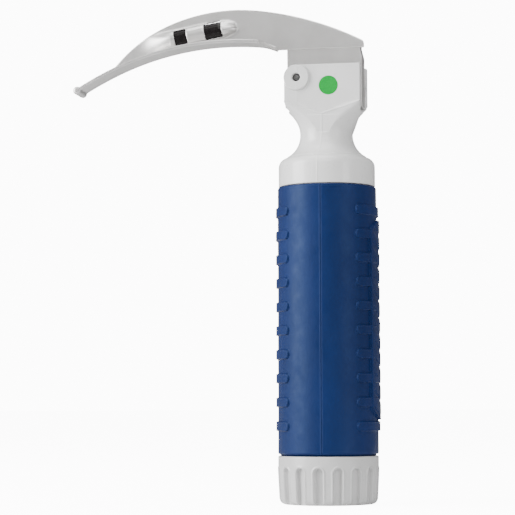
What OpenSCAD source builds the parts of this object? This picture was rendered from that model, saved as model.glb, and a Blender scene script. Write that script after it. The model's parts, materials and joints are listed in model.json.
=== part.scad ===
// Single-use laryngoscope: battery handle with a screw cap, and a curved
// blade that folds down on a hinge pin. Millimetres, +Z up the handle,
// origin at the centre of the cap's bottom face, blade towards -X.

/* [Grip] */
// Radius of the rubber sleeve at its lower end
grip_r_low = 15.8; // [15.6:0.1:16.4]
// Radius of the rubber sleeve at its upper end
grip_r_high = 15.64; // [15.5:0.02:16.2]
// Ribs on each side of the grip
rib_count = 10; // [6:1:10]
// Height of one rib
rib_h = 3.0; // [2:0.1:4]
// How far a rib stands proud of the sleeve
rib_rise = 0.6; // [0.3:0.1:1]
// How far the thumb panel stands proud of the sleeve
panel_rise = 0.85; // [0.4:0.05:1.2]

/* [End cap] */
// Outer radius of the screw cap
cap_r = 15.6; // [15.5:0.1:16.2]
// Grip flutes around the cap
flute_count = 16; // [8:1:18]
// Radius of one flute
flute_r = 1.65; // [1:0.05:1.8]
// Depth of one flute
flute_depth = 0.9; // [0.4:0.1:1]

/* [Head] */
// Radius of the collar above the grip
collar_r = 15.3; // [15:0.1:15.6]
// Radius of the neck at its narrowest
neck_r = 8.36; // [8.2:0.02:9]
// Thickness of the cheeks' outer faces from the middle plane
cheek_y = 7.2; // [7:0.1:7.6]
// Radius of the hinge bosses
boss_r = 4.0; // [3.4:0.1:4]
// Radius of the hinge pin
pin_r = 1.25; // [1:0.05:1.4]

/* [Blade] */
// Width of the spatula
spatula_w = 9.0; // [8:0.5:12]
// Thickness of the blade's sheet
sheet_t = 1.1; // [0.9:0.1:1.4]
// Radius of the rolled bead at the tip
bead_r = 1.45; // [1.2:0.05:1.8]
// Radius of the light guide's sheath in the heel
guide_r = 2.2; // [1.8:0.1:2.3]
// Radius of the light guide's sheath along the blade
guide_run_r = 2.8; // [2.4:0.1:2.9]

/* [Hidden] */

$fn = 96;
eps = 0.01;
far = 60;              // longer than any cut needs
under_all = 100;       // a height below everything on the blade

// Heights up the handle
cap_top = 15.5;
grip_z0 = 15.9;
grip_z1 = 99.7;
tube_z0 = 4.6;
tube_top = 104.55;
slot_floor = 124.0;
cheek_top = 138.2;

// End cap and battery tube
cap_floor = 1.8;
cap_round = 1.5;
cap_bore_r = 13.95;
seal_bore_r = 14.45;
seal_bore_z = 12.9;
seal_z = 14.2;
seal_r = 0.45;
flute_top = 9.7;
flute_turn = -2.1;     // angle of the flute nearest the front
neck_out_r = 13.75;
tube_out_r = 14.0;
tube_in_r = 12.85;
strip_x = 12.88;
strip_t = 0.2;
strip_w = 3.0;
strip_z0 = 2.45;       // the strip's lower end, just above the cap's contact
strip_arm_x = 5.3;     // inner end of the arm that reaches the lamp's sleeve
strip_slot_w = 3.1;
contact_t = 0.5;
contact_lift = 0.1;
cap_contact_r = 13.4;

// Battery spring in the cap
cap_coil_r = 8;
cap_coil_top_r = 3.5;
cap_coil_h = 2.5;
cap_coil_turns = 3;
cap_coil_wire = 0.35;

// Cells
cell_r = 12.6;
cell_h = 49.0;
cell_z0 = 5.2;
cell_nub_r = 3.2;
cell_nub_h = 1.6;
cell_gap = 0.03;

// Grip
rib_z0 = 24.3;
rib_z1 = 91.5;
rib_spaces = 9;        // spaces between the lowest and the highest of ten ribs
rib_pitch = (rib_z1 - rib_z0) / rib_spaces;
rib_half_y = 11.6;
panel_z0 = 26.7;
panel_z1 = 88.9;
panel_half_y = 6.5;
panel_end = 5;         // length of the panel's rounded ends
grip_core = 5;         // ribs and panel start this far from the axis
grip_reach = 20;

// Neck: a round waist
waist_R = 8.2;
waist_z = 116.4;
waist_x = neck_r + waist_R;
neck_half_y = 8.1;
shoulder_R = 3.0;
shoulder_z = 105.9;
waist_fill_r = 12.6;   // stock that the waist is cut out of
waist_fill_z = 107;

// Hinge
pin_x = -8.55;
pin_z = 134.1;
pin_end = 7.3;
pin_run = 0.05;        // running clearance of the heel on the pin
boss_rise = 0.8;
eye_r = pin_r + 0.12;  // open end of the pin's hole
head_x0 = -12.5;
head_x1 = [11.65, 12.4];  // rear edges of the near and the far cheek
head_low = 121.8;      // where the head's sides start above the waist
head_flare = 1.0;      // how fast the cone round its lower corners widens
plate_v = [[-30, 132.8], [-11.47, 126.4], [-0.4, 122.6], [11.35, 126.3], [30, 132.5]];
head_low_x = waist_x - sqrt(waist_R * waist_R - (head_low - waist_z) * (head_low - waist_z));
recess_z0 = 128.5;     // recess in the far cheek's rear edge
recess_z1 = 132.0;
recess_depth = 1.4;
recess_len = 1.1;
slot_half = 4.1;
heel_half = 3.9;

// Green marker
dot_x = 1.66;
dot_z = 131.37;
dot_r = 3.0;
dot_t = 0.3;

// Detent
ball_r = 1.0;
ball_y = 3.2;
ball_x = 7.5;
ball_z = 131.0;
ball_run = 0.05;
groove_w = 2.7;
groove_y = 4.65;
groove_lead = 5.5;     // degrees that the groove starts below the ball
groove_sweep = 46;
detent_coil_r = 0.65;
detent_coil_h = 3.7;
detent_coil_turns = 5;
detent_coil_wire = 0.17;
ball_arm = norm([ball_x - pin_x, ball_z - pin_z]);
ball_angle = atan2(ball_z - pin_z, ball_x - pin_x);

// Lamp
sleeve_out_r = 6.0;
sleeve_in_r = 5.05;
carrier_r = 5.0;
carrier_z0 = 112.0;
carrier_z1 = 121.2;
lens_r = 3.0;
lens_top = 124.3;
lip_z = 122.6;
contact_z = 103.45;
lamp_contact_r = 10;
contact_dimple_r = 1.5;
contact_dimple_t = 0.3;
spring_z0 = 104.1;
spring_r = 4.1;
spring_turns = 5;
spring_wire = 0.35;
well_r = 3.9;          // well in the top of the lamp's carrier
well_depth = 2.0;
board_r = 3.8;
board_t = 0.8;
chip_w = 1.6;
chip_h = 0.6;
lens_flange_t = 1.1;
lens_pocket_r = 1.4;
part_gap = 0.02;       // between fixed pieces that rest on each other
board_top = carrier_z1 - well_depth + board_t + 2 * part_gap;

// Blade: the top edge is three tangent arcs, the spatula two
top_c = [-28.9, 100.35];
top_R = 56.8;
rear_R = 99.6;
rear_turn = 7.2;       // degrees from vertical where the rear arc starts
fore_R = 46.65;
fore_turn = -21.7;
rear_c = top_c - (rear_R - top_R) * [sin(rear_turn), cos(rear_turn)];
fore_c = top_c + (top_R - fore_R) * [sin(fore_turn), cos(fore_turn)];
tip_c = [-22.85, 38.45];
tip_R = 108.15;
sole_R = 90.7;
sole_turn = -23.7;
sole_c = tip_c + (tip_R - sole_R) * [sin(sole_turn), cos(sole_turn)];
lap = 0.4;             // overlap of neighbouring arcs, in degrees
bead_turn = -31.1;
heel_turn = 8.9;
web_y0 = -4.2;
web_y1 = web_y0 + sheet_t + 0.1;
web_x1 = 12.6;
web_low = 143.9;       // lower edge of the web where it meets the heel
spatula_y0 = web_y1 - spatula_w;
flange_y1 = 2.0;
spatula_end_far = -15.6;  // the spatula's slanted end, at the web
spatula_end_near = -19.1; // and at its free edge
flange_x0 = -62;
flange_x1 = 8;
heel_x0 = -12.0;
heel_x1 = 11.9;
heel_flat_x0 = -5;     // where the heel's flat underside starts
heel_chamfer = [0.8, 3.2];
heel_shoulder_z = 141.0;
heel_z0 = 124.9;
heel_top = 147.0;
bore_run = 0.2;        // room around the light guide in the heel's bore
channel_run = 0.35;    // and in its channel
channel_z = 136.5;
guide_gap = 0.1;
bulge_t = 0.6;
bulge_x0 = -70;
bulge_len = 22;        // how far the bulge reaches from the light's end
bulge_r = guide_run_r + guide_gap + bulge_t;
windows = [[-46.2, 3.9], [-35.6, 5.4]];  // place along X, and width
window_low = 2.6;
window_high = 3.15;
passage_x = [-31, -21];  // where the guide passes through the web
passage_y0 = -3.7;
passage_z = 151.4;

// Route of the light guide, from the heel to the light's end
guide_path = [[0, 0, 126.0], [0, 0, 137.0], [-1.3, 0, 140.9], [-4.2, 0, 144.0],
              [-8, -0.2, 146.2], [-13, -0.6, 148.4], [-22, -0.6, 151.2],
              [-27, -1.0, 151.8], [-31, -2.3, 151.3], [-34, -3.3, 150.7], [-48.8, -3.4, 148.0]];
guide_swell = [-28, -32];  // where the sheath starts and ends widening
guide_end = guide_path[len(guide_path) - 1];
run_slope = atan2(3.4, 18.8);
guide_dir = [cos(run_slope), 0, sin(run_slope)];  // along the straight run, towards the heel

// Extrudes an outline drawn in X and Z from y0 to y1
module slab_y(y0, y1) {
    translate([0, y1, 0]) rotate([90, 0, 0]) linear_extrude(y1 - y0) children();
}

// Cylinder along Y at a place in X and Z
module rod_y(x, z, r, y0, y1) {
    translate([x, y1, z]) rotate([90, 0, 0]) cylinder(r = r, h = y1 - y0);
}

// Rod between two points
module rod(a, b, r) {
    v = b - a;
    translate(a)
        rotate([0, acos(v[2] / norm(v)), atan2(v[1], v[0])])
            cylinder(r = r, h = norm(v), $fn = 48);
}

// Smooth curve through a list of points, each stretch cut into steps
function smooth(p, steps) = let (m = len(p) - 1) concat(
    [for (i = [0 : m - 1]) for (k = [0 : steps - 1])
        let (t = k / steps, a = p[max(i - 1, 0)], b = p[i], c = p[i + 1], d = p[min(i + 2, m)])
        0.5 * (2 * b + (c - a) * t + (2 * a - 5 * b + 4 * c - d) * t * t
               + (3 * b - a - 3 * c + d) * t * t * t)],
    [p[m]]);

// Round bar of changing radius, swept along a route near the plane of X and Z
module sweep(path, radii, sides = 20) {
    n = len(path) - 1;
    function along(i) = let (v = path[min(i + 1, n)] - path[max(i - 1, 0)]) v / norm(v);
    function side(i) = let (v = cross([0, 1, 0], along(i))) v / norm(v);
    pts = [for (i = [0 : n]) for (k = [0 : sides - 1])
        let (u = side(i), w = cross(along(i), u))
        path[i] + radii[i] * (cos(360 * k / sides) * u + sin(360 * k / sides) * w)];
    walls = [for (i = [0 : n - 1]) for (k = [0 : sides - 1])
        let (a = i * sides + k, b = i * sides + (k + 1) % sides)
        [a, a + sides, b + sides, b]];
    ends = [[for (k = [0 : sides - 1]) k], [for (k = [sides - 1 : -1 : 0]) n * sides + k]];
    polyhedron(points = pts, faces = concat(walls, ends), convexity = 6);
}

// Round-ended bar along Y, as one turned solid
module capsule_y(x, z, r, y0, y1) {
    translate([x, y1, z]) rotate([90, 0, 0]) rotate_extrude() intersection() {
        union() {
            translate([0, r]) square([r, y1 - y0 - 2 * r]);
            translate([0, r]) circle(r = r, $fn = 48);
            translate([0, y1 - y0 - r]) circle(r = r, $fn = 48);
        }
        square([r, y1 - y0]);
    }
}

// Coil spring: a wire swept along a helix whose radius may change
module coil(r0, r1, h, turns, wire, sides = 8, steps = 16) {
    n = turns * steps;
    function at(i) = let (t = i / n, r = r0 + (r1 - r0) * t, a = 360 * turns * t)
        [r * cos(a), r * sin(a), wire + (h - 2 * wire) * t];
    function out(i) = let (a = 360 * turns * i / n) [cos(a), sin(a), 0];
    pts = [for (i = [0 : n]) for (k = [0 : sides - 1])
        at(i) + wire * (cos(360 * k / sides) * out(i) + sin(360 * k / sides) * [0, 0, 1])];
    walls = [for (i = [0 : n - 1]) for (k = [0 : sides - 1])
        let (a = i * sides + k, b = i * sides + (k + 1) % sides)
        [a, b, b + sides, a + sides]];
    ends = [[for (k = [sides - 1 : -1 : 0]) k], [for (k = [0 : sides - 1]) n * sides + k]];
    polyhedron(points = pts, faces = concat(walls, ends), convexity = 8);
}

// Wedge from a centre between two directions, in degrees from vertical
module wedge(c, a0, a1, reach = 200) {
    polygon([c, c + reach * [sin(a0), cos(a0)], c + reach * [sin(a1), cos(a1)]]);
}

// Everything under the blade's top edge, brought in by d
module under_top(d = 0) {
    intersection() {
        translate(rear_c) circle(r = rear_R - d, $fn = 256);
        wedge(rear_c, rear_turn - lap, 60);
    }
    intersection() {
        translate(top_c) circle(r = top_R - d, $fn = 256);
        wedge(top_c, fore_turn - lap, rear_turn + lap);
    }
    intersection() {
        translate(fore_c) circle(r = fore_R - d, $fn = 256);
        wedge(fore_c, -90, fore_turn + lap);
    }
}

// The spatula's curved strip in side view
module sole_strip() {
    intersection() {
        difference() {
            translate(tip_c) circle(r = tip_R + sheet_t, $fn = 256);
            translate(tip_c) circle(r = tip_R, $fn = 256);
        }
        wedge(tip_c, bead_turn, sole_turn + lap);
    }
    intersection() {
        difference() {
            translate(sole_c) circle(r = sole_R + sheet_t, $fn = 256);
            translate(sole_c) circle(r = sole_R, $fn = 256);
        }
        wedge(sole_c, sole_turn - lap, heel_turn);
    }
}

// The upright web in side view
module web_outline() {
    difference() {
        intersection() {
            under_top();
            translate([web_x1 - 2 * far, under_all]) square([2 * far, far]);
        }
        translate(sole_c) circle(r = sole_R + sheet_t / 2, $fn = 256);
        translate(tip_c) circle(r = tip_R + sheet_t / 2, $fn = 256);
        translate([spatula_end_far, under_all]) square([far, web_low - under_all]);
    }
}

module blade_shell() color([0.78, 0.78, 0.77]) {
    bead_at = tip_c + (tip_R + sheet_t / 2) * [sin(bead_turn), cos(bead_turn)];
    difference() {
        union() {
            slab_y(web_y0, web_y1) web_outline();
            intersection() {
                slab_y(spatula_y0, web_y1) sole_strip();
                translate([0, 0, under_all]) linear_extrude(far)
                    polygon([[-90, web_y1], [spatula_end_far, web_y1], [spatula_end_near, spatula_y0],
                             [-90, spatula_y0]]);
            }
            slab_y(web_y0, flange_y1) difference() {
                intersection() {
                    under_top();
                    translate([flange_x0, under_all]) square([flange_x1 - flange_x0, far]);
                }
                under_top(sheet_t);
            }
            intersection() {
                rod(guide_end + bulge_len * guide_dir, guide_end - 0.6 * guide_dir, bulge_r);
                translate([bulge_x0, web_y0 - far, under_all]) cube([far, far + 0.5, far]);
            }
        }
        rod(guide_end + (bulge_len - 1) * guide_dir, guide_end - 2 * guide_dir, guide_run_r + guide_gap);
        translate([passage_x[0], passage_y0, passage_z - guide_run_r])
            cube([passage_x[1] - passage_x[0], 4, 2 * guide_run_r + 0.2]);
        for (w = windows)
            translate(guide_end + (w[0] - guide_end[0]) / cos(run_slope) * guide_dir)
                rotate([0, -run_slope, 0]) translate([-w[1] / 2, -far, -window_low])
                    cube([w[1], far - 0.8, window_low + window_high]);
    }
    capsule_y(bead_at[0], bead_at[1], bead_r, spatula_y0, web_y1);
}

// Side view of the heel: round about the pin so that it can turn
module heel_outline() {
    round_r = pin_x - heel_x0;
    translate([pin_x, pin_z]) circle(r = round_r);
    polygon([[heel_x0, pin_z], [pin_x, pin_z - round_r], [heel_flat_x0, heel_z0], [heel_x1, heel_z0],
             [heel_x1, heel_shoulder_z], [heel_x1 - heel_chamfer[0], heel_shoulder_z + heel_chamfer[1]],
             [heel_x1 - heel_chamfer[0], heel_top], [heel_x0, heel_top]]);
}

module heel_block() color([0.72, 0.72, 0.71]) difference() {
    intersection() {
        union() {
            slab_y(-heel_half, heel_half) intersection() {
                heel_outline();
                translate([-far, under_all]) square([2 * far, web_low - under_all - part_gap]);
            }
            slab_y(web_y1 + part_gap, heel_half) heel_outline();
        }
        slab_y(-far, far) under_top(sheet_t + 0.05);
    }
    rod_y(pin_x, pin_z, pin_r + pin_run, -far, far);
    rod_y(ball_x, ball_z, ball_r + ball_run, -far, far);
    // bore and milled channel for the light guide
    translate([0, 0, heel_z0 - 1]) cylinder(r = guide_r + bore_run, h = channel_z - heel_z0 + 1.4);
    translate([-far, -guide_r - channel_run, channel_z])
        cube([far + guide_r + 0.3, 2 * (guide_r + channel_run), far]);
}

module light_guide_sheath() color([0.08, 0.07, 0.08]) {
    radii = [for (p = guide_path)
        p[0] > guide_swell[0] ? guide_r : p[0] > guide_swell[1] ? (guide_r + guide_run_r) / 2 : guide_run_r];
    sweep(smooth(guide_path, 3), smooth(radii, 3));
}

module light_guide_tip() color([0.95, 0.95, 0.9])
    rod(guide_end - 0.03 * guide_dir, guide_end - 0.53 * guide_dir, guide_run_r - 0.5);

module light_inlet() color([0.9, 0.92, 0.9])
    translate([0, 0, heel_z0]) cylinder(r = guide_r, h = guide_path[0][2] - heel_z0 - 0.1);

module detent_ball_near() color([0.7, 0.7, 0.72])
    translate([ball_x, -ball_y, ball_z]) sphere(r = ball_r, $fn = 48);

module detent_ball_far() color([0.7, 0.7, 0.72])
    translate([ball_x, ball_y, ball_z]) sphere(r = ball_r, $fn = 48);

module detent_spring() color([0.6, 0.6, 0.62])
    translate([ball_x, detent_coil_h / 2, ball_z]) rotate([90, 0, 0])
        coil(detent_coil_r, detent_coil_r, detent_coil_h, detent_coil_turns, detent_coil_wire, 6, 12);

// Collar, shoulder and round waist, as one turned profile
module waist_profile() {
    difference() {
        union() {
            translate([0, grip_z1]) square([collar_r, shoulder_z - grip_z1]);
            translate([0, grip_z1]) square([collar_r - shoulder_R, shoulder_z + shoulder_R - grip_z1]);
            translate([collar_r - shoulder_R, shoulder_z]) circle(r = shoulder_R);
            translate([0, waist_fill_z]) square([waist_fill_r, head_low + 0.05 - waist_fill_z]);
        }
        translate([waist_x, waist_z]) circle(r = waist_R);
        translate([-far, 90]) square([far, 60]);
    }
}

// Side view of the head above the waist
module head_outline(rear) {
    difference() {
        union() {
            translate([pin_x, pin_z]) circle(r = boss_r);
            translate([pin_x, head_low]) square([rear - pin_x, cheek_top - head_low]);
            translate([head_x0, head_low]) square([rear - head_x0, pin_z - head_low]);
        }
        for (s = [-1, 1]) translate([s * waist_x, waist_z]) circle(r = waist_R);
    }
}

module head_housing() color([0.86, 0.86, 0.85]) difference() {
    union() {
        rotate_extrude() intersection() {
            waist_profile();
            translate([0, 90]) square([far, waist_z - 90]);
        }
        intersection() {
            rotate_extrude() intersection() {
                waist_profile();
                translate([0, waist_z - eps]) square([far, 20]);
            }
            translate([-far, -neck_half_y, 0]) cube([2 * far, 2 * neck_half_y, 200]);
        }
        intersection() {
            union() {
                slab_y(-neck_half_y + 0.2, 0) head_outline(head_x1[0]);
                slab_y(-eps, neck_half_y - 0.2) head_outline(head_x1[1]);
            }
            translate([0, 0, head_low])
                cylinder(r1 = head_low_x - 0.25, r2 = head_low_x - 0.25 + head_flare * far, h = far);
        }
        for (s = [0, 1]) mirror([0, s, 0])
            rod_y(pin_x, pin_z, boss_r - eps, -cheek_y - boss_rise, -slot_half);
    }
    // flat cheek plates, with a shallow V for a lower edge
    for (s = [0, 1]) mirror([0, s, 0]) slab_y(-far, -cheek_y) difference() {
        polygon(concat(plate_v, [[far, cheek_top + far], [-far, cheek_top + far]]));
        translate([pin_x, pin_z]) circle(r = boss_r - eps);
    }
    // slot for the heel, open above, in front and behind
    translate([-far, -slot_half, slot_floor]) cube([2 * far, 2 * slot_half, far]);
    // hinge pin's hole, with an open end in each boss
    rod_y(pin_x, pin_z, pin_r, -far, far);
    for (s = [0, 1]) mirror([0, s, 0]) rod_y(pin_x, pin_z, eye_r, -far, -pin_end + 0.3);
    // groove that the detent balls run in
    translate([pin_x, 0, pin_z]) rotate([90, 0, 0]) rotate([0, 0, ball_angle - groove_lead])
        rotate_extrude(angle = groove_sweep) translate([ball_arm - groove_w / 2, -groove_y])
            square([groove_w, 2 * groove_y]);
    // recess in the far cheek's rear edge
    translate([head_x1[1] - recess_len, slot_half - 1, recess_z0])
        cube([far, 1 + recess_depth, recess_z1 - recess_z0]);
    // pocket for the marker
    rod_y(dot_x, dot_z, dot_r + 0.02, -far, -cheek_y + dot_t - 0.05);
    // tube's socket, lamp's bore and the lip that keeps the lamp in
    translate([0, 0, grip_z1 - 1]) cylinder(r = tube_out_r + 0.03, h = tube_top - grip_z1 + 1.03);
    translate([0, 0, tube_top]) cylinder(r = sleeve_out_r + 0.03, h = lip_z - tube_top);
    translate([0, 0, lip_z - eps]) cylinder(r = lens_r + 0.2, h = 3);
}

module hinge_pin() color([0.5, 0.5, 0.5]) rod_y(pin_x, pin_z, pin_r - 0.01, -pin_end, pin_end);

module green_dot() color([0.24, 0.83, 0.41])
    rod_y(dot_x, dot_z, dot_r, -cheek_y - 0.03, -cheek_y + dot_t - 0.07);

module lamp_contact() color([0.8, 0.65, 0.3]) {
    translate([0, 0, contact_z]) cylinder(r = lamp_contact_r, h = contact_t);
    translate([0, 0, contact_z - contact_dimple_t / 2]) cylinder(r = contact_dimple_r, h = contact_dimple_t);
}

module lamp_spring() color([0.6, 0.6, 0.62])
    translate([0, 0, spring_z0])
        coil(spring_r, spring_r, carrier_z0 - spring_z0 - 0.05, spring_turns, spring_wire);

module lamp_sleeve() color([0.8, 0.65, 0.3]) translate([0, 0, tube_top + part_gap]) difference() {
    cylinder(r = sleeve_out_r, h = lip_z - tube_top - 0.1);
    translate([0, 0, -1]) cylinder(r = sleeve_in_r, h = far);
}

module lamp_carrier() color([0.2, 0.2, 0.22]) difference() {
    translate([0, 0, carrier_z0]) cylinder(r = carrier_r, h = carrier_z1 - carrier_z0);
    translate([0, 0, carrier_z1 - well_depth]) cylinder(r = well_r, h = far);
}

module led_board() color([0.1, 0.4, 0.2])
    translate([0, 0, carrier_z1 - well_depth + part_gap]) cylinder(r = board_r, h = board_t);

module led_chip() color([0.95, 0.9, 0.5])
    translate([-chip_w / 2, -chip_w / 2, board_top]) cube([chip_w, chip_w, chip_h]);

module lamp_lens() color([0.85, 0.92, 0.95]) difference() {
    union() {
        translate([0, 0, board_top]) cylinder(r = board_r, h = lens_flange_t);
        translate([0, 0, board_top]) cylinder(r = lens_r, h = lens_top - board_top);
    }
    translate([0, 0, board_top - 1]) cylinder(r = lens_pocket_r, h = chip_h + 1.26);
}

module cell(z0) translate([0, 0, z0]) {
    cylinder(r = cell_r, h = cell_h - cell_nub_h - cell_gap);
    cylinder(r = cell_nub_r, h = cell_h - cell_gap);
}

module battery_lower() color([0.25, 0.25, 0.27]) cell(cell_z0);

module battery_upper() color([0.25, 0.25, 0.27]) cell(cell_z0 + cell_h);

module contact_strip() color([0.8, 0.65, 0.3]) {
    translate([strip_x, -strip_w / 2, strip_z0]) cube([strip_t, strip_w, tube_top - strip_z0]);
    translate([strip_arm_x, -strip_w / 2, tube_top - strip_t])
        cube([strip_x + strip_t - strip_arm_x, strip_w, strip_t]);
}

module battery_tube() color([0.85, 0.85, 0.84]) difference() {
    union() {
        translate([0, 0, tube_z0]) cylinder(r = neck_out_r, h = grip_z0 - tube_z0 + eps);
        translate([0, 0, grip_z0]) cylinder(r = tube_out_r, h = tube_top - grip_z0);
    }
    translate([0, 0, tube_z0 - 1]) cylinder(r = tube_in_r, h = far * 2);
    translate([strip_x - 1, -strip_slot_w / 2, tube_z0 - 1])
        cube([strip_t + 1.04, strip_slot_w, 2 * far]);
    rotate_extrude() translate([neck_out_r, seal_z]) circle(r = seal_r + 0.02, $fn = 32);
}

module cap_seal() color([0.08, 0.08, 0.08])
    rotate_extrude() translate([neck_out_r, seal_z]) circle(r = seal_r, $fn = 32);

// Side view of a bar with round ends, wide in Y
module bar_outline(half_w, h) {
    square([2 * half_w - h, h], center = true);
    for (s = [-1, 1]) translate([s * (half_w - h / 2), 0]) circle(r = h / 2, $fn = 48);
}

module rib(side, z) {
    intersection() {
        translate([0, 0, z - rib_h]) cylinder(r = grip_r_low + rib_rise, h = 2 * rib_h);
        rotate([0, 0, side > 0 ? 0 : 180]) translate([grip_core, 0, z]) rotate([90, 0, 90])
            linear_extrude(grip_reach) bar_outline(rib_half_y, rib_h);
    }
}

module grip_sleeve() color([0.17, 0.29, 0.49]) difference() {
    union() {
        translate([0, 0, grip_z0])
            cylinder(r1 = grip_r_low, r2 = grip_r_high, h = grip_z1 - grip_z0 - 0.05);
        for (side = [-1, 1]) for (i = [0 : rib_count - 1]) rib(side, rib_z0 + i * rib_pitch);
        intersection() {
            translate([0, 0, panel_z0]) cylinder(r = grip_r_low + panel_rise, h = panel_z1 - panel_z0);
            rotate([90, 0, 90]) linear_extrude(grip_reach) union() {
                translate([-panel_half_y, panel_z0 + panel_end])
                    square([2 * panel_half_y, panel_z1 - panel_z0 - 2 * panel_end]);
                for (z = [panel_z0 + panel_half_y, panel_z1 - panel_half_y])
                    translate([0, z]) circle(r = panel_half_y);
            }
        }
    }
    translate([0, 0, grip_z0 - 1]) cylinder(r = tube_out_r + 0.03, h = far * 2);
}

module end_cap() color([0.86, 0.86, 0.85]) difference() {
    rotate_extrude() union() {
        square([cap_r - cap_round, cap_top]);
        translate([0, cap_round]) square([cap_r, cap_top - cap_round]);
        translate([cap_r - cap_round, cap_round]) circle(r = cap_round, $fn = 48);
    }
    translate([0, 0, cap_floor]) cylinder(r = cap_bore_r, h = far);
    translate([0, 0, seal_bore_z]) cylinder(r = seal_bore_r, h = far);
    for (i = [0 : flute_count - 1])
        rotate([0, 0, -90 + flute_turn + i * 360 / flute_count])
            translate([cap_r + flute_r - flute_depth, 0, 0]) {
                translate([0, 0, -1]) cylinder(r = flute_r, h = flute_top + 1, $fn = 48);
                translate([0, 0, flute_top]) sphere(r = flute_r, $fn = 48);
            }
}

module cap_contact() color([0.8, 0.65, 0.3])
    translate([0, 0, cap_floor + contact_lift]) cylinder(r = cap_contact_r, h = contact_t);

module cap_spring() color([0.6, 0.6, 0.62])
    translate([0, 0, cap_floor + contact_lift + contact_t + 0.02])
        coil(cap_coil_r, cap_coil_top_r, cap_coil_h, cap_coil_turns, cap_coil_wire, 8, 18);

end_cap();
cap_contact();
cap_spring();
cap_seal();
battery_tube();
battery_lower();
battery_upper();
contact_strip();
grip_sleeve();
head_housing();
hinge_pin();
green_dot();
lamp_contact();
lamp_spring();
lamp_sleeve();
lamp_carrier();
led_board();
led_chip();
lamp_lens();
blade_shell();
heel_block();
light_guide_sheath();
light_guide_tip();
light_inlet();
detent_ball_near();
detent_ball_far();
detent_spring();
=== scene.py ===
"""Looks of a single-use laryngoscope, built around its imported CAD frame. Metres."""
import json
import math

import bpy
import numpy as np
from mathutils import Matrix, Vector


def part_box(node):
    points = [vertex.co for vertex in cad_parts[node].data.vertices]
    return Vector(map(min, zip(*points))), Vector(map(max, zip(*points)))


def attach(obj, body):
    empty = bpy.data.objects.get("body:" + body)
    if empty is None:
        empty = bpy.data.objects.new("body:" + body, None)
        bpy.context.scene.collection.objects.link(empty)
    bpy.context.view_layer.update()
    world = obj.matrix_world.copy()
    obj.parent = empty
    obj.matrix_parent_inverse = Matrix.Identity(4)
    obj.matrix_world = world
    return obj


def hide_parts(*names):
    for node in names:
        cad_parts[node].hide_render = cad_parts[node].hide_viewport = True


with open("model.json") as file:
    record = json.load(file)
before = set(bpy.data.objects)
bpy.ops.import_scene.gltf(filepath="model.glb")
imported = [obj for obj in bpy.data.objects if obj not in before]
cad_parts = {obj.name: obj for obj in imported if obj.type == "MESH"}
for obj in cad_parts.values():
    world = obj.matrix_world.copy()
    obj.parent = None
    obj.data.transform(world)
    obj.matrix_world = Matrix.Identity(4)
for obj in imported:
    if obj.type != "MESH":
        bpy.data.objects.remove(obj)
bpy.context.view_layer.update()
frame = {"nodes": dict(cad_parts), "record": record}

MM = 0.001
NODES = frame["nodes"]

# Noise mostly lies between these two values
NOISE_SPAN = (0.3, 0.7)

# The camera, as fitted to the object's outline
IMAGE_PX = 515
FOCAL_PX = 1943.0
SENSOR_MM = 36.0
AZIMUTH = math.radians(10.0)
PITCH = math.radians(4.31)
ROLL = math.radians(0.21)
DISTANCE = 613.3 * MM
EYE_HEIGHT = 31.3 * MM
SIDE_SHIFT = -22.1 * MM

# How bright the backdrop looks, and how much soft light it gives
BACKDROP = 12.0
AMBIENT = 0.34


# ---------------------------------------------------------------- helpers

def smoothstep(low, high, x):
    """0 below low, 1 above high, and smooth between them; works on arrays."""
    t = np.clip((np.asarray(x, float) - low) / (high - low), 0.0, 1.0)
    return t * t * (3 - 2 * t)


def hump(d, width):
    """1 on a line and fading away from it, by the distance d from the line."""
    return np.exp(-(d / width) ** 2)


def new_object(name, verts, faces, smooth=True):
    """A mesh object from lists of points and faces."""
    mesh = bpy.data.meshes.new(name)
    mesh.from_pydata([tuple(v) for v in verts], [], faces)
    mesh.validate()
    mesh.polygons.foreach_set("use_smooth", [smooth] * len(mesh.polygons))
    obj = bpy.data.objects.new(name, mesh)
    bpy.context.scene.collection.objects.link(obj)
    return obj


def ring_mesh(name, rows):
    """A closed solid of revolution from an array (rings, sides, 3); the last ring joins the first."""
    rings, sides = rows.shape[:2]
    faces = []
    for i in range(rings):
        a, b = i * sides, (i + 1) % rings * sides
        for k in range(sides):
            n = (k + 1) % sides
            faces.append((a + k, a + n, b + n, b + k))
    return new_object(name, rows.reshape(-1, 3), faces)


def ring(theta, r, z):
    """A level ring of points about the handle's axis."""
    return np.stack([r * np.cos(theta), r * np.sin(theta), np.full(len(theta), z)], 1)


def turned(profile, sides, shape=None):
    """Rings of a profile of (radius, height); shape(theta, r, z) may change the radius."""
    theta = np.linspace(0, 2 * math.pi, sides, endpoint=False)
    return np.array([ring(theta, shape(theta, r, z) if shape else r, z) for r, z in profile])


def grid_solid(name, front, back, keep=None):
    """A sheet with two faces, from matching grids of points; keep marks the cells that are solid."""
    nu, nv = front.shape[:2]
    if keep is None:
        keep = np.ones((nu - 1, nv - 1), bool)
    total = nu * nv
    faces = []
    for i in range(nu - 1):
        for j in range(nv - 1):
            if not keep[i, j]:
                continue
            a, b, c, d = i * nv + j, (i + 1) * nv + j, (i + 1) * nv + j + 1, i * nv + j + 1
            faces.append((a, b, c, d))
            faces.append((total + d, total + c, total + b, total + a))
            for di, dj, p, q in ((-1, 0, d, a), (1, 0, b, c), (0, -1, a, b), (0, 1, c, d)):
                ni, nj = i + di, j + dj
                if 0 <= ni < nu - 1 and 0 <= nj < nv - 1 and keep[ni, nj]:
                    continue
                faces.append((q, p, total + p, total + q))
    verts = np.concatenate([front.reshape(-1, 3), back.reshape(-1, 3)])
    return new_object(name, verts, faces)


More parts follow.
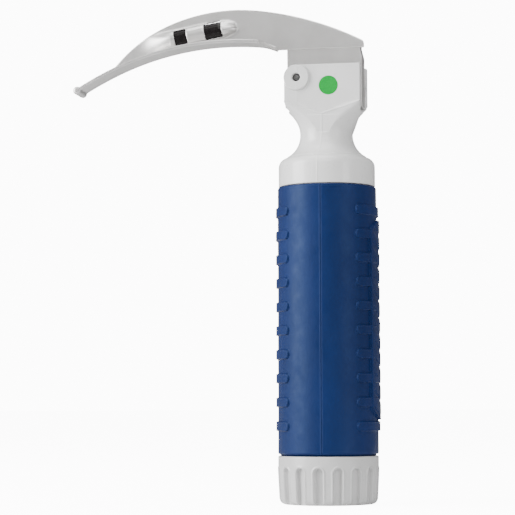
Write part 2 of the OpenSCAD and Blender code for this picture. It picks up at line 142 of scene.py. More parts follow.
def apply_modifiers(obj):
    """Puts the modifiers' result into the mesh."""
    bpy.context.view_layer.update()
    graph = bpy.context.evaluated_depsgraph_get()
    mesh = bpy.data.meshes.new_from_object(obj.evaluated_get(graph))
    obj.modifiers.clear()
    obj.data = mesh
    mesh.polygons.foreach_set("use_smooth", [True] * len(mesh.polygons))


def reskin(obj, voxel, rounds):
    """Gives an object one even skin and rounds its edges."""
    remesh = obj.modifiers.new("Reskin", "REMESH")
    remesh.mode = "VOXEL"
    remesh.voxel_size = voxel
    smooth = obj.modifiers.new("Round", "SMOOTH")
    smooth.factor = 0.5
    smooth.iterations = rounds
    apply_modifiers(obj)


def fuse(name, parts, voxel, rounds):
    """Joins overlapping solids into one skin and rounds its edges."""
    verts, faces = [], []
    for part in parts:
        start = len(verts)
        verts += [tuple(v.co) for v in part.data.vertices]
        faces += [tuple(start + i for i in p.vertices) for p in part.data.polygons]
        bpy.data.objects.remove(part)
    obj = new_object(name, verts, faces)
    reskin(obj, voxel, rounds)
    return obj


def moulded_copy(name, node, voxel, rounds):
    """A piece made from a node's own shape, with its edges rounded as a moulding's are."""
    obj = bpy.data.objects.new(name, NODES[node].data.copy())
    bpy.context.scene.collection.objects.link(obj)
    reskin(obj, voxel, rounds)
    return obj


def points_of(obj):
    """A mesh's points as an array of three columns."""
    co = np.empty(len(obj.data.vertices) * 3)
    obj.data.vertices.foreach_get("co", co)
    return co.reshape(-1, 3)


def set_points(obj, co):
    """Puts changed points back into a mesh."""
    obj.data.vertices.foreach_set("co", co.ravel())
    obj.data.update()


def soften(obj, weights, rounds):
    """Smooths part of a mesh, by a weight for each of its points."""
    group = obj.vertex_groups.new(name="soft")
    levels = np.round(weights, 1)
    for level in np.unique(levels):
        if level > 0:
            group.add(np.flatnonzero(levels == level).tolist(), float(level), "REPLACE")
    smooth = obj.modifiers.new("Soften part", "SMOOTH")
    smooth.factor = 0.5
    smooth.iterations = rounds
    smooth.vertex_group = "soft"
    apply_modifiers(obj)


# ---------------------------------------------------------------- materials

class Shader:
    """A node material: a Principled shader and short calls that add its detail."""

    def __init__(self, name, **sockets):
        self.material = bpy.data.materials.new(name)
        self.material.use_nodes = True
        self.tree = self.material.node_tree
        self.bsdf = self.tree.nodes["Principled BSDF"]
        self.coords = self.tree.nodes.new("ShaderNodeTexCoord").outputs["Object"]
        for socket, value in sockets.items():
            self.bsdf.inputs[socket.replace("_", " ")].default_value = value

    def link(self, a, b):
        self.tree.links.new(a, b)

    def noise(self, scale, detail=4.0, stretch=(1, 1, 1), rough=0.5):
        """Noise whose scale counts features per metre."""
        mapping = self.tree.nodes.new("ShaderNodeMapping")
        mapping.inputs["Scale"].default_value = stretch
        self.link(self.coords, mapping.inputs["Vector"])
        tex = self.tree.nodes.new("ShaderNodeTexNoise")
        tex.inputs["Scale"].default_value = scale
        tex.inputs["Detail"].default_value = detail
        tex.inputs["Roughness"].default_value = rough
        self.link(mapping.outputs["Vector"], tex.inputs["Vector"])
        return tex.outputs["Fac"]

    def ramp(self, value, low, high):
        """Maps noise onto the colours from low to high."""
        node = self.tree.nodes.new("ShaderNodeValToRGB")
        for stop, position, colour in zip(node.color_ramp.elements, NOISE_SPAN, (low, high)):
            stop.position = position
            stop.color = (*colour, 1)
        self.link(value, node.inputs["Fac"])
        return node.outputs["Color"]

    def spread(self, value, low, high):
        """Maps noise onto the range low to high."""
        node = self.tree.nodes.new("ShaderNodeMapRange")
        node.inputs["From Min"].default_value, node.inputs["From Max"].default_value = NOISE_SPAN
        node.inputs["To Min"].default_value, node.inputs["To Max"].default_value = low, high
        self.link(value, node.inputs["Value"])
        return node.outputs["Result"]

    def colour(self, value, low, high):
        self.link(self.ramp(value, low, high), self.bsdf.inputs["Base Color"])

    def rough(self, value, low, high):
        self.link(self.spread(value, low, high), self.bsdf.inputs["Roughness"])

    def bumps(self, *layers):
        """Stacks bump layers of (value, depth in metres)."""
        normal = None
        for value, depth in layers:
            bump = self.tree.nodes.new("ShaderNodeBump")
            bump.inputs["Distance"].default_value = depth
            bump.inputs["Strength"].default_value = 1.0
            self.link(value, bump.inputs["Height"])
            if normal:
                self.link(normal, bump.inputs["Normal"])
            normal = bump.outputs["Normal"]
        self.link(normal, self.bsdf.inputs["Normal"])


def white_plastic(name="white_plastic", low=(0.70, 0.70, 0.695), high=(0.76, 0.76, 0.755)):
    s = Shader(name, Coat_Weight=0.35, Coat_Roughness=0.12)
    s.colour(s.noise(90, 3), low, high)
    s.rough(s.noise(700, 5), 0.26, 0.38)
    s.bumps((s.noise(120, 2), 0.00010), (s.noise(3500, 3), 0.000005))
    return s.material


def blue_rubber():
    s = Shader("blue_rubber", Specular_IOR_Level=0.30, Specular_Tint=(0.42, 0.62, 1.0, 1.0))
    s.colour(s.noise(60, 5, (1, 1, 0.4), 0.6), (0.0025, 0.0100, 0.055), (0.0046, 0.0155, 0.080))
    s.rough(s.noise(260, 6, rough=0.6), 0.40, 0.58)
    s.bumps((s.noise(110, 3), 0.00014), (s.noise(900, 5, (1, 1, 0.35)), 0.00002))
    return s.material


def satin_steel(name="satin_steel", low=(0.62, 0.61, 0.60), high=(0.70, 0.69, 0.68), along=(1, 1, 1)):
    s = Shader(name, Metallic=1.0)
    grain = s.noise(2600, 3, along, 0.5)
    s.colour(s.noise(140, 4), low, high)
    s.rough(grain, 0.34, 0.42)
    s.bumps((grain, 0.0000012), (s.noise(90, 2), 0.00005))
    return s.material


def black_plastic():
    s = Shader("black_plastic", Specular_IOR_Level=0.10, Coat_Weight=0.18, Coat_Roughness=0.07)
    s.colour(s.noise(900, 4), (0.003, 0.0022, 0.0025), (0.008, 0.006, 0.0065))
    s.rough(s.noise(1400, 4), 0.22, 0.36)
    s.bumps((s.noise(1800, 3), 0.00001))
    return s.material


def green_mark():
    s = Shader("green_mark", Specular_IOR_Level=0.05)
    s.colour(s.noise(4200, 3, rough=0.7), (0.0006, 0.23, 0.028), (0.0012, 0.36, 0.054))
    s.rough(s.noise(3000, 3), 0.45, 0.6)
    s.bumps((s.noise(5200, 3), 0.00003))
    return s.material


def brass():
    s = Shader("brass", Metallic=1.0)
    s.colour(s.noise(240, 5), (0.62, 0.43, 0.17), (0.80, 0.60, 0.28))
    s.rough(s.noise(2200, 4, (1, 1, 0.1)), 0.22, 0.4)
    s.bumps((s.noise(2600, 4), 0.00001))
    return s.material


def cell_jacket():
    s = Shader("cell_jacket", Metallic=0.35, Coat_Weight=0.4, Coat_Roughness=0.1)
    s.colour(s.noise(150, 3), (0.05, 0.05, 0.06), (0.10, 0.10, 0.12))
    s.rough(s.noise(1200, 4), 0.22, 0.32)
    s.bumps((s.noise(600, 3), 0.00001))
    return s.material


def plain(name, low, high, rough):
    """A small inner piece's finish: colour variation, roughness variation and a fine grain."""
    s = Shader(name)
    s.colour(s.noise(900, 4), low, high)
    s.rough(s.noise(1500, 4), *rough)
    s.bumps((s.noise(2400, 3), 0.000012))
    return s.material


def clear_lens():
    s = Shader("clear_lens", Transmission_Weight=0.85, IOR=1.49)
    s.colour(s.noise(700, 2), (0.90, 0.93, 0.94), (0.96, 0.98, 0.98))
    s.rough(s.noise(900, 3), 0.03, 0.10)
    s.bumps((s.noise(1500, 2), 0.000005))
    return s.material


MATERIALS = {
    "white_plastic": white_plastic(),
    "cap_plastic": white_plastic("cap_plastic", (0.53, 0.53, 0.53), (0.59, 0.59, 0.585)),
    "blue_rubber": blue_rubber(),
    "satin_steel": satin_steel(along=(0.5, 1, 1)),
    "spring_steel": satin_steel("spring_steel", (0.13, 0.13, 0.13), (0.22, 0.22, 0.215)),
    "black_plastic": black_plastic(),
    "green_mark": green_mark(),
    "brass": brass(),
    "cell_jacket": cell_jacket(),
    "black_rubber": plain("black_rubber", (0.012,) * 3, (0.028,) * 3, (0.5, 0.7)),
    "board_green": plain("board_green", (0.02, 0.15, 0.05), (0.04, 0.24, 0.09), (0.3, 0.5)),
    "led_yellow": plain("led_yellow", (0.75, 0.65, 0.20), (0.90, 0.80, 0.35), (0.25, 0.4)),
    "clear_lens": clear_lens(),
}


def paint(obj, slot):
    """Gives an object its one material."""
    obj.data.materials.clear()
    obj.data.materials.append(MATERIALS[slot])


# ---------------------------------------------------------------- grip

def dense(start, stop, coarse, fine, places, reach):
    """Levels from start to stop: fine steps within reach of the given places, coarse steps elsewhere."""
    levels = [start]
    while levels[-1] < stop - coarse * 0.3:
        near = min(abs(levels[-1] + coarse / 2 - p) for p in places) < reach
        levels.append(levels[-1] + (fine if near else coarse))
    levels[-1] = stop
    return levels


def make_grip():
    """Sleeve with ribs on two sides, a raised panel of chevrons and two parting lines."""
    low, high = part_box("grip_sleeve")
    z0, z1 = low.z - 0.35 * MM, high.z - 0.2 * MM
    r_low, r_high, r_in = 15.8 * MM, 15.64 * MM, 14.03 * MM
    skirt_r, skirt_z = 15.0 * MM, z0 - 0.4 * MM
    end_round, end_reach = 0.45 * MM, 0.6 * MM
    edge = 0.12 * MM
    # ribs, with a rim just inside their outline
    ribs, rib_first, rib_last, rib_rise = 10, 24.3, 91.5, 0.60 * MM
    rib_z = [(rib_first + i * (rib_last - rib_first) / (ribs - 1)) * MM for i in range(ribs)]
    rib_half, rib_h, rib_corner, rib_near = 13.3 * MM, 1.5 * MM, 1.4 * MM, 3 * MM
    crown_drop, rim_rise, rim_in, rim_w = 0.16, 0.14, 0.28 * MM, 0.16 * MM
    # panel, pointed at both ends, with chevrons sunk inside a plain frame
    panel_z0, panel_z1, panel_half, panel_rise = 26.2 * MM, 88.9 * MM, 7.0 * MM, 0.85 * MM
    point_len, frame_w = 3.5 * MM, 1.2 * MM
    chevron_slope, chevron_pitch, chevron_depth = 0.55, 5.2 * MM, 0.40 * MM
    wave_low, wave_high = -0.1, 0.25
    # parting lines, a ridge beside a groove: height, place and width
    seam_lines = ((0.09 * MM, -0.15 * MM, 0.16 * MM), (-0.10 * MM, 0.18 * MM, 0.14 * MM))
    # slight unevenness of the soft wall
    sag_depth, sag_waves, sag_twist, sag_run = 0.05 * MM, 3, 0.11, 0.07
    # steps of the grid along the axis and in degrees round it: coarse, fine, and how near fine ones reach
    step_z, fine_step_z, reach_z = 0.42 * MM, 0.10 * MM, 0.55 * MM
    step_t, fine_step_t, reach_t = 1.1, 0.36, 2.6

    def arc_from(theta, at):
        """Distance round the sleeve from a direction."""
        return np.angle(np.exp(1j * (theta - at))) * r_low

    def outside_rib(s, z):
        """Distance outside a rib's outline: a bar with rounded corners."""
        ds = np.maximum(np.abs(s) - rib_half + rib_corner, 0.0)
        dz = max(abs(z) - rib_h + rib_corner, 0.0)
        return np.hypot(ds, dz) - rib_corner

    def rib_height(theta, z):
        height = np.zeros_like(theta)
        for side in (0.0, math.pi):
            s = arc_from(theta, side)
            for at in rib_z:
                if abs(z - at) < rib_near:
                    outside = outside_rib(s, z - at)
                    crown = 1 - crown_drop * np.clip(abs(z - at) / rib_h, 0, 1) ** 2
                    rim = rim_rise * hump(outside + rim_in, rim_w)
                    height = np.maximum(height, (crown + rim) * (1 - smoothstep(-edge, edge, outside)))
        return height * rib_rise

    def panel_height(theta, z):
        s = arc_from(theta, 0.0)
        taper = min(z - panel_z0, panel_z1 - z)
        half = panel_half * math.sqrt(min(max(taper / point_len, 0.0), 1.0))
        plate = (1 - smoothstep(-edge, edge, np.abs(s) - half)) * float(smoothstep(0, edge, taper))
        wave = np.cos(2 * math.pi * (z - np.abs(s) * chevron_slope) / chevron_pitch)
        inner = 1 - smoothstep(-edge, edge, np.abs(s) - half + frame_w)
        return plate * panel_rise - inner * smoothstep(wave_low, wave_high, wave) * chevron_depth

    def seam_height(theta):
        height = np.zeros_like(theta)
        for at in (-math.pi / 2, math.pi / 2):
            for rise, place, width in seam_lines:
                height += rise * hump(arc_from(theta, at) - place, width)
        return height

    def radius(theta, r, z):
        raised = np.maximum(rib_height(theta, z), panel_height(theta, z))
        sag = np.sin(theta * sag_waves + z / MM * sag_twist) * np.sin(z / MM * sag_run + theta)
        return r + raised + seam_height(theta) + sag_depth * sag

    fine_z = [z + d for z in rib_z for d in (-rib_h, rib_h)] + [z0, z1, panel_z0, panel_z1]
    levels = dense(z0, z1, step_z, fine_step_z, fine_z, reach_z)
    to_deg = math.degrees(1 / r_low)
    rib_ends, panel_edges = (rib_half, rib_half - 1.0 * MM), (panel_half, panel_half - frame_w)
    fine_t = [side + s * w * to_deg for side in (0, 180) for s in (-1, 1) for w in rib_ends]
    fine_t += [s * w * to_deg for s in (-1, 1) for w in panel_edges] + [-90, 90]
    turns = sorted({t % 360 for t in fine_t})
    places = turns + [360 + turns[0], turns[-1] - 360]
    theta = np.radians(dense(0.0, 360.0, step_t, fine_step_t, places, reach_t))[:-1]

    rows = []
    for z in levels:
        up = (z - z0) / (z1 - z0)
        from_end = 1 - min(min(z - z0, z1 - z) / end_reach, 1)
        round_off = end_round * (1 - math.sqrt(max(0.0, 1 - from_end ** 2)))
        rows.append(ring(theta, radius(theta, r_low + (r_high - r_low) * up - round_off, z), z))
    for r, z in ((r_in, z1), (r_in, (z0 + z1) / 2), (r_in, skirt_z), (skirt_r, skirt_z), (skirt_r, z0)):
        rows.append(ring(theta, r, z))
    grip = ring_mesh("grip", np.array(rows))
    paint(grip, "blue_rubber")
    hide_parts("grip_sleeve")
    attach(grip, "handle")


# ---------------------------------------------------------------- end cap

def make_cap():
    """Hollow screw cap, whose flutes have raised lips and run out over its rounded foot."""
    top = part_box("end_cap")[1].z - 0.45 * MM
    r_out, r_in, r_seal = 15.8 * MM, 13.95 * MM, 14.45 * MM
    r_axis, r_flat = 0.02 * MM, r_out * 0.6
    corner, rim, floor_z, seal_z = 1.5 * MM, 0.4 * MM, 1.8 * MM, 12.9 * MM
    taper, taper_top = 0.05, 12 * MM
    flutes, flute_half, depth, flute_top = 16, 1.45 * MM, 1.3 * MM, 9.95 * MM
    slope_in, slope_out = 0.20 * MM, 0.06 * MM
    lip_off, lip_w, lip_rise = 0.40 * MM, 0.26 * MM, 0.22 * MM
    foot_low, foot_high = 0.5 * MM, 2.2 * MM
    turn, pitch = math.radians(-90 - 3.9), 2 * math.pi / flutes

    def wall_r(z):
        """The wall draws in a little towards the bottom."""
        return r_out - taper * max(0.0, taper_top - z)

    def radius(theta, r, z):
        """Flutes on the outside wall; the bore and the flat bottom stay round."""
        if r < wall_r(z) - corner * 1.01 or z >= top:
            return np.full_like(theta, r)
        s = (np.mod(theta - turn + pitch / 2, pitch) - pitch / 2) * r_out
        d = np.hypot(s, max(0.0, z - flute_top))
        cut = depth * (1 - smoothstep(flute_half - slope_in, flute_half + slope_out, d))
        lip = lip_rise * hump(d - flute_half - lip_off, lip_w) * smoothstep(foot_low, foot_high, z)
        return np.minimum(r + lip, wall_r(z) - cut + lip)

    foot = []
    for a in np.linspace(0, math.pi / 2, 12):
        z = corner - corner * math.cos(a)
        foot.append((wall_r(z) - corner + corner * math.sin(a), z))
    wall = [(wall_r(z), z) for z in np.linspace(corner, top - rim, 80)[1:]]
    brim = [(r_out - rim + rim * math.cos(a), top - rim + rim * math.sin(a))
            for a in np.linspace(0, math.pi / 2, 8)[1:]]
    bore = [(r_seal, top), (r_seal, seal_z), (r_in, seal_z - 0.1 * MM), (r_in, floor_z), (r_axis, floor_z)]
    cap = ring_mesh("cap", turned([(r_axis, 0.0), (r_flat, 0.0)] + foot + wall + brim + bore, 720, radius))
    paint(cap, "cap_plastic")
    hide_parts("end_cap")
    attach(cap, "cap")


# ---------------------------------------------------------------- blade

def arc_height(x, centre, radius):
    """Height of the upper half of a circle."""
    return centre[1] + np.sqrt(np.maximum(radius ** 2 - (x - centre[0]) ** 2, 0.0))


def tangent_arcs(first, r_first, turn, r_next):
    """Centre of the arc that follows another without a kink, where the turn is from vertical."""
    away = r_first - r_next
    return (first[0] + away * math.sin(math.radians(turn)), first[1] + away * math.cos(math.radians(turn)))


# Arcs of the web's top edge, from the heel to the tip, and of the spatula's sole
TOP_C, TOP_R = (-28.9 * MM, 100.35 * MM), 56.8 * MM
REAR_TURN, REAR_R = 7.2, 99.6 * MM
FORE_TURN, FORE_R = -21.7, 46.65 * MM
REAR_C = tangent_arcs(TOP_C, TOP_R, REAR_TURN, REAR_R)
FORE_C = tangent_arcs(TOP_C, TOP_R, FORE_TURN, FORE_R)
TIP_C, TIP_R = (-22.85 * MM, 38.45 * MM), 108.15 * MM
SOLE_TURN, SOLE_R = -23.7, 90.7 * MM
SOLE_C = tangent_arcs(TIP_C, TIP_R, SOLE_TURN, SOLE_R)

SHEET = 1.1 * MM
WEB_Y0, WEB_Y1 = -4.2 * MM, -3.0 * MM
SPATULA_Y0 = -12.0 * MM
BEAD_X = -78.9 * MM


def join_x(centre, radius, turn):
    """Where an arc ends, at a turn from vertical."""
    return centre[0] + radius * math.sin(math.radians(turn))


def top_height(x):
    """Height of the web's top edge."""
    rear = x > join_x(TOP_C, TOP_R, REAR_TURN)
    fore = x < join_x(TOP_C, TOP_R, FORE_TURN)
    z = np.where(rear, arc_height(x, REAR_C, REAR_R), arc_height(x, TOP_C, TOP_R))
    return np.where(fore, arc_height(x, FORE_C, FORE_R), z)


def sole_height(x):
    """Height of the spatula's underside."""
    tip = x < join_x(TIP_C, TIP_R, SOLE_TURN)
    return np.where(tip, arc_height(x, TIP_C, TIP_R), arc_height(x, SOLE_C, SOLE_R))


def guide_height(x):
    """Height of the light guide's middle line along the web."""
    start_x, start_z, climb = -48.8, 148.0, 3.4 / 18.8
    return (start_z + (x / MM - start_x) * climb) * MM


def guide_cover(x, off):
    """The least that the web stands out, so that the light guide behind it never shows through."""
    # the guide leans away from the web towards the heel, and gets thinner
    lean_x, lean_y = [-48.8, -34, -31, -27], [-3.4, -3.3, -2.3, -1.0]
    thin_x, thin_r = [-31, -27], [3.05, 2.45]
    end_x, margin, most = -49.6 * MM, 0.25, 3
    reach = np.interp(x / MM, thin_x, thin_r)
    half_depth = np.sqrt(np.maximum(reach ** 2 - (off / MM) ** 2, 0))
    cover = half_depth - np.interp(x / MM, lean_x, lean_y) + WEB_Y0 / MM + margin
    over_guide = (np.abs(off / MM) < reach) & (x > end_x)
    return np.clip(np.where(over_guide, cover, 0), 0, most) * MM


def bulge_height(x, off):
    """How far the web is pressed out over the light guide: a point at the heel end, a flare at the tip."""
    point_x, point_len = -27.9 * MM, 5.6 * MM
    run_low, run_high = 33.4 * MM, 39.0 * MM
    flare_x, flare_len, flare_power = -61.5 * MM, 12.9 * MM, 1.25
    height, width, least, run_width, flare_width = 2.5 * MM, 2.55, 0.05, 0.45, 0.9
    skew, point_skew, run_skew = -0.95, 0.65, 0.40
    blunt, flare_blunt, point_blunt = 0.62, 0.95, 0.15

    point = np.clip((point_x - x) / point_len, 0, 1)
    run = smoothstep(run_low, run_high, -x)
    flare = np.clip((x - flare_x) / flare_len, 0, 1)
    full = height * np.sqrt(1 - (1 - point) ** 2) * smoothstep(0, 1, flare) ** flare_power
    half = (width * np.sqrt(point) + least + run_width * run + flare_width * (1 - flare)) * MM
    middle = (skew + point_skew * point + run_skew * run) * MM
    lens = np.clip(1 - ((off - middle) / half) ** 2, 0, 1)
    pressed = full * lens ** (blunt + flare_blunt * (1 - flare) + point_blunt * (1 - point))
    return np.maximum(pressed, guide_cover(x, off))


def make_web():
    """Upright web, pressed out over the light guide, with its two windows."""
    tip_x, heel_x, corner = -69.6 * MM, 12.65 * MM, 0.7 * MM
    block_x, block_z = -15.6 * MM, 143.6 * MM
    thinning = 0.3 * MM
    # windows, slanted with the web: from, to and upper edge in mm
    slant, lower, windows = 0.18, -2.5 * MM, ((-48.2, -44.25, 2.65), (-38.35, -32.9, 3.0))

    x = np.linspace(tip_x, heel_x, 520)
    v = np.linspace(0, 1, 110)
    bottom = np.where(x < block_x, sole_height(x) + SHEET * 0.4, block_z)
    crown = np.maximum(top_height(x), bottom + 0.1 * MM)
    near_end = np.clip(x - (x[-1] - corner), 0, corner)
    crown = crown - (corner - np.sqrt(corner ** 2 - near_end ** 2))
    X = np.repeat(x[:, None], len(v), 1)
    Z = bottom[:, None] + (crown - bottom)[:, None] * v[None, :]
    bulge = bulge_height(X, Z - guide_height(X))
    near = np.stack([X, np.full_like(X, WEB_Y0) - bulge, Z], 2)
    back = np.stack([X, np.full_like(X, WEB_Y1) - np.maximum(bulge - thinning, 0), Z], 2)

    xc, zc = (X[1:, 1:] + X[:-1, :-1]) / 2, (Z[1:, 1:] + Z[:-1, :-1]) / 2
    off = zc - guide_height(xc)
    u = (xc + off * slant) / MM
    cut = np.zeros(off.shape, bool)
    for start, stop, upper in windows:
        cut |= (u > start) & (u < stop) & (off < upper * MM)
    return grid_solid("web", near, back, ~(cut & (off > lower)))


def make_spatula():
    """Spatula, cut on a slant at its heel end, where it turns down a little."""
    cut_x, cut_run = -19.9, 5.0
    droop, droop_x, droop_len = 0.9 * MM, -21 * MM, 6.0 * MM

    t = np.linspace(0, 1, 300)
    y = np.linspace(SPATULA_Y0, WEB_Y1, 34)
    end = (cut_x + cut_run * (y - SPATULA_Y0) / (WEB_Y1 - SPATULA_Y0)) * MM
    X = BEAD_X + (end[None, :] - BEAD_X) * t[:, None]
    Y = np.repeat(y[None, :], len(t), 0)
    Z = sole_height(X) - droop * np.clip((X - droop_x) / droop_len, 0, 1) ** 2
    return grid_solid("spatula", np.stack([X, Y, Z + SHEET], 2), np.stack([X, Y, Z], 2))


def make_flange():
    """Flange along the top, on the far side of the web."""
    tip_x, heel_x, far_y = -62 * MM, 8 * MM, 2.0 * MM
    x = np.linspace(tip_x, heel_x, 300)
    y = np.linspace(WEB_Y0, far_y, 24)
    X = np.repeat(x[:, None], len(y), 1)
    Y = np.repeat(y[None, :], len(x), 0)
    Z = top_height(X)
    return grid_solid("flange", np.stack([X, Y, Z], 2), np.stack([X, Y, Z - SHEET], 2))


def make_bead():
    """Rolled bead across the tip, with rounded ends."""
    radius, corner, length = 1.32 * MM, 0.75 * MM, WEB_Y1 - SPATULA_Y0
    middle_z = float(sole_height(np.array(BEAD_X))) + SHEET / 2
    on_axis = 1e-6
    angles = np.linspace(0, math.pi / 2, 10)
    rise = [(radius - corner + corner * math.sin(a), corner - corner * math.cos(a)) for a in angles]
    fall = [(radius - corner + corner * math.cos(a), length - corner + corner * math.sin(a)) for a in angles]
    rows = turned([(on_axis, 0.0)] + rise + fall + [(on_axis, length)], 40)
    placed = np.stack([rows[..., 0] + BEAD_X, rows[..., 2] + SPATULA_Y0, rows[..., 1] + middle_z], -1)
    return ring_mesh("bead", placed)


def make_blade():
    """The blade's formed sheet in one skin, crisp at the spatula's cut end and roundest at the bead."""
    blade = fuse("blade", [make_web(), make_spatula(), make_flange(), make_bead()], 0.16 * MM, 2)
    crisp_from, crisp_full, crisp_end = -24 * MM, -21.5 * MM, -12 * MM
    bead_full, bead_end = BEAD_X + 1.3 * MM, BEAD_X + 2.5 * MM
    x, y, _ = points_of(blade).T
    cut_end = smoothstep(crisp_from, crisp_full, x) * (x < crisp_end) * (y < WEB_Y0 + 0.1 * MM)
    soften(blade, 1 - cut_end, 6)
    x = points_of(blade)[:, 0]
    soften(blade, 1 - smoothstep(bead_full, bead_end, x), 8)
    paint(blade, "satin_steel")
    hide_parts("blade_shell")
    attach(blade, "blade")


# ---------------------------------------------------------------- head, heel and pin

def make_head():
    """Head and neck, with parting lines and the cheek plates' lower edge a little proud. Places in mm."""
    cheek_y, boss_y, boss_r = 6.9, 6.8, 4.2
    pin_x, pin_z = -8.55, 134.1
    # what is softened, each place given as where it begins and where it is full, or full and ends
    band_from, band_to = (117.5, 120.5), (124.8, 126.6)
    outer_x, side_y, end_x, end_z = (3.0, 6.5), (4.4, 5.4), (9.0, 10.0), (122.4, 125.4)
    step_z, step_w, step_x, step_y = 116.4, 1.1, 5.5, 6
    # parting line of the neck, which swings over a little above the collar
    seam_x, seam_swing, swing_z, seam_rise, seam_w = -0.9, 0.5, (108, 116), 0.10, 0.22
    neck_y, neck_r, neck_top = 5.0, 6.8, 123.2
    # parting lines of the boss and of the cheek below it
    line_x, line_w, boss_rise, cheek_rise, cheek_z = -8.3, 0.2, 0.07, 0.05, (123.5, 130)
    # the plates' lower edge, a wide V, and the ring sunk round the boss
    v_x, v_z, v_w, v_end, v_rise, v_drop = -0.4, 122.6, 0.3, 11.6, 0.18, 0.25
    left_slope, right_slope = (126.4 - v_z) / (11.47 - 0.4), (126.3 - v_z) / (11.35 + 0.4)
    ring_r, ring_w, ring_depth = boss_r + 0.05, 0.16, 0.16

    head = moulded_copy("head", "head_housing", 0.15 * MM, 2)
    x, y, z = points_of(head).T / MM
    # the corners under the cheeks run softly into the round waist
    band = smoothstep(*band_from, z) * (1 - smoothstep(*band_to, z)) * smoothstep(*outer_x, np.abs(x))
    end = smoothstep(*end_x, np.abs(x)) * (1 - smoothstep(*end_z, z))
    soften(head, np.clip(band * (smoothstep(*side_y, np.abs(y)) + end), 0, 1), 160)
    # and so does the small step where the flat sides begin
    soften(head, hump(z - step_z, step_w) * (np.abs(x) < step_x) * (np.abs(y) > step_y), 40)

    co = points_of(head)
    x, y, z = co.T / MM
    on_cheek = np.abs(y) > cheek_y
    on_neck = (np.abs(y) > neck_y) & (np.hypot(x, y) > neck_r) & (z < neck_top)
    from_pin = np.hypot(x - pin_x, z - pin_z)
    on_boss = (from_pin < boss_r) & (np.abs(y) > boss_y)
    under_boss = (z > cheek_z[0]) & (z < cheek_z[1]) & on_cheek
    swing = seam_swing * smoothstep(*swing_z, z)
    edge_z = v_z - v_drop + np.where(x < v_x, left_slope * (v_x - x), right_slope * (x - v_x))
    line = hump(x - line_x, line_w)
    ridge = seam_rise * hump(x - seam_x - swing, seam_w) * on_neck
    ridge += (boss_rise * on_boss + cheek_rise * under_boss) * line
    ridge += v_rise * hump(z - edge_z, v_w) * on_cheek * (np.abs(x) < v_end)
    ridge -= ring_depth * hump(from_pin - ring_r, ring_w) * on_cheek
    co[:, 1] += np.sign(y) * ridge * MM
    set_points(head, co)
    paint(head, "white_plastic")
    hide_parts("head_housing")
    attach(head, "handle")


def make_heel():
    """Block of the blade that turns on the pin, with rounded edges."""
    heel = moulded_copy("heel", "heel_block", 0.16 * MM, 4)
    paint(heel, "satin_steel")
    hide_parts("heel_block")
    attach(heel, "blade")


def make_pin():
    """Hinge pin with turned-down, slightly domed ends."""
    low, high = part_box("hinge_pin")
    r, end_r, on_axis = (high.x - low.x) / 2, 0.95 * MM, 1e-6
    half, step, dome, bevel = high.y - 0.15 * MM, 0.9 * MM, 0.12 * MM, 0.1 * MM
    angles = np.linspace(0, math.pi / 2, 8)
    tip = [(max(end_r * math.sin(a), on_axis), half + dome * (math.cos(a) - 1)) for a in angles]
    one = tip + [(end_r, half - step), (r, half - step - bevel)]
    rows = turned(one + [(q, -h) for q, h in reversed(one)], 48)
    middle = (low + high) / 2
    placed = np.stack([rows[..., 0] + middle.x, -rows[..., 2], rows[..., 1] + middle.z], -1)
    pin = ring_mesh("pin", placed)
    paint(pin, "spring_steel")
    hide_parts("hinge_pin")
    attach(pin, "handle")


# ---------------------------------------------------------------- carried-over nodes

def dress_nodes():
    """Gives each of the CAD's own nodes the material that its slot names."""
    slots = {p["node"]: p["material_slot"] for p in frame["record"]["subparts"]}
    for name, obj in NODES.items():
        paint(obj, slots[name])


# ---------------------------------------------------------------- stage

def camera_axes():
    """The camera's place, and its right, up and forward directions."""
    right = Vector((math.cos(AZIMUTH), math.sin(AZIMUTH), 0))
    level = Vector((-math.sin(AZIMUTH), math.cos(AZIMUTH), 0))
    ahead = level * math.cos(PITCH) + Vector((0, 0, math.sin(PITCH)))
    up = -level * math.sin(PITCH) + Vector((0, 0, math.cos(PITCH)))
    place = right * SIDE_SHIFT - level * DISTANCE + Vector((0, 0, EYE_HEIGHT))
    c, s = math.cos(ROLL), math.sin(ROLL)
    return place, right * c - up * s, right * s + up * c, ahead


def make_camera():
    """The scene's camera, at its fitted place."""
    place, right, up, ahead = camera_axes()
    data = bpy.data.cameras.new("camera")
    data.sensor_width = SENSOR_MM
    data.lens = FOCAL_PX / IMAGE_PX * SENSOR_MM
    data.clip_start, data.clip_end = 0.05, 20
    cam = bpy.data.objects.new("camera", data)
    bpy.context.scene.collection.objects.link(cam)
    cam.matrix_world = Matrix.Translation(place) @ Matrix((right, up, -ahead)).transposed().to_4x4()
    bpy.context.scene.camera = cam


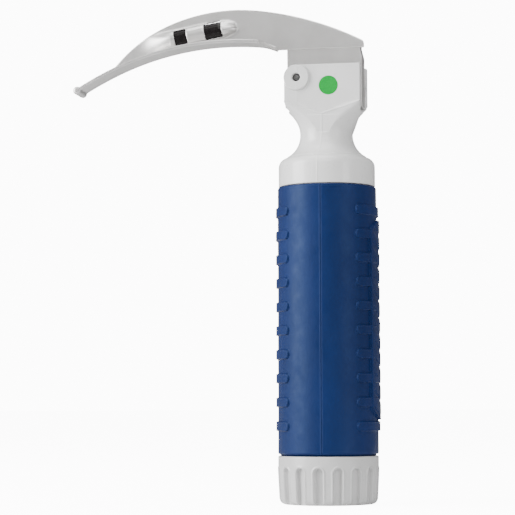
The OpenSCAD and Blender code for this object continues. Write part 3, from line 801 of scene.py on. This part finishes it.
def area_light(name, place, aim, size, power):
    """A rectangular lamp that faces its aim; metres and watts."""
    data = bpy.data.lights.new(name, "AREA")
    data.shape = "RECTANGLE"
    data.size, data.size_y = size
    data.energy = power
    obj = bpy.data.objects.new(name, data)
    obj.location = place
    obj.rotation_mode = "QUATERNION"
    obj.rotation_quaternion = (Vector(aim) - Vector(place)).to_track_quat("-Z", "Y")
    bpy.context.scene.collection.objects.link(obj)


def seen_and_lit(tree, seen, lit):
    """A strength that is one value to the camera and another to everything that it lights."""
    path = tree.nodes.new("ShaderNodeLightPath")
    mix = tree.nodes.new("ShaderNodeMapRange")
    mix.inputs["To Min"].default_value, mix.inputs["To Max"].default_value = lit, seen
    tree.links.new(path.outputs["Is Camera Ray"], mix.inputs["Value"])
    return mix.outputs["Result"]


def make_stage():
    """A pale floor that looks as bright as the backdrop, and four soft lights."""
    half, drop = 9, 0.0002
    corners = [(-half, -half, 0), (half, -half, 0), (half, half, 0), (-half, half, 0)]
    floor = new_object("floor", corners, [(0, 1, 2, 3)], False)
    s = Shader("floor_paper", Roughness=0.9, Emission_Color=(1, 1, 1, 1))
    s.colour(s.noise(3, 2), (0.78, 0.78, 0.78), (0.80, 0.80, 0.80))
    s.link(seen_and_lit(s.tree, BACKDROP - 1.0, 0.0), s.bsdf.inputs["Emission Strength"])
    floor.data.materials.append(s.material)
    floor.location.z = -drop

    world = bpy.data.worlds.new("studio")
    world.use_nodes = True
    tree = world.node_tree
    tree.nodes["Background"].inputs["Color"].default_value = (1, 1, 1, 1)
    tree.links.new(seen_and_lit(tree, BACKDROP, AMBIENT), tree.nodes["Background"].inputs["Strength"])
    bpy.context.scene.world = world
    area_light("key", (-0.90, -0.46, 0.36), (0, 0, 0.08), (0.6, 0.9), 24.0)
    area_light("front", (0.05, -1.1, 0.85), (0, 0, 0.10), (0.6, 0.5), 4.0)
    area_light("top", (-0.1, -0.15, 0.95), (0, 0, 0.1), (0.7, 0.5), 6.0)
    area_light("side", (0.85, -0.60, 0.30), (0, 0, 0.08), (0.3, 0.8), 4.2)


make_grip()
make_cap()
make_blade()
make_head()
make_heel()
make_pin()
dress_nodes()
make_camera()
make_stage()
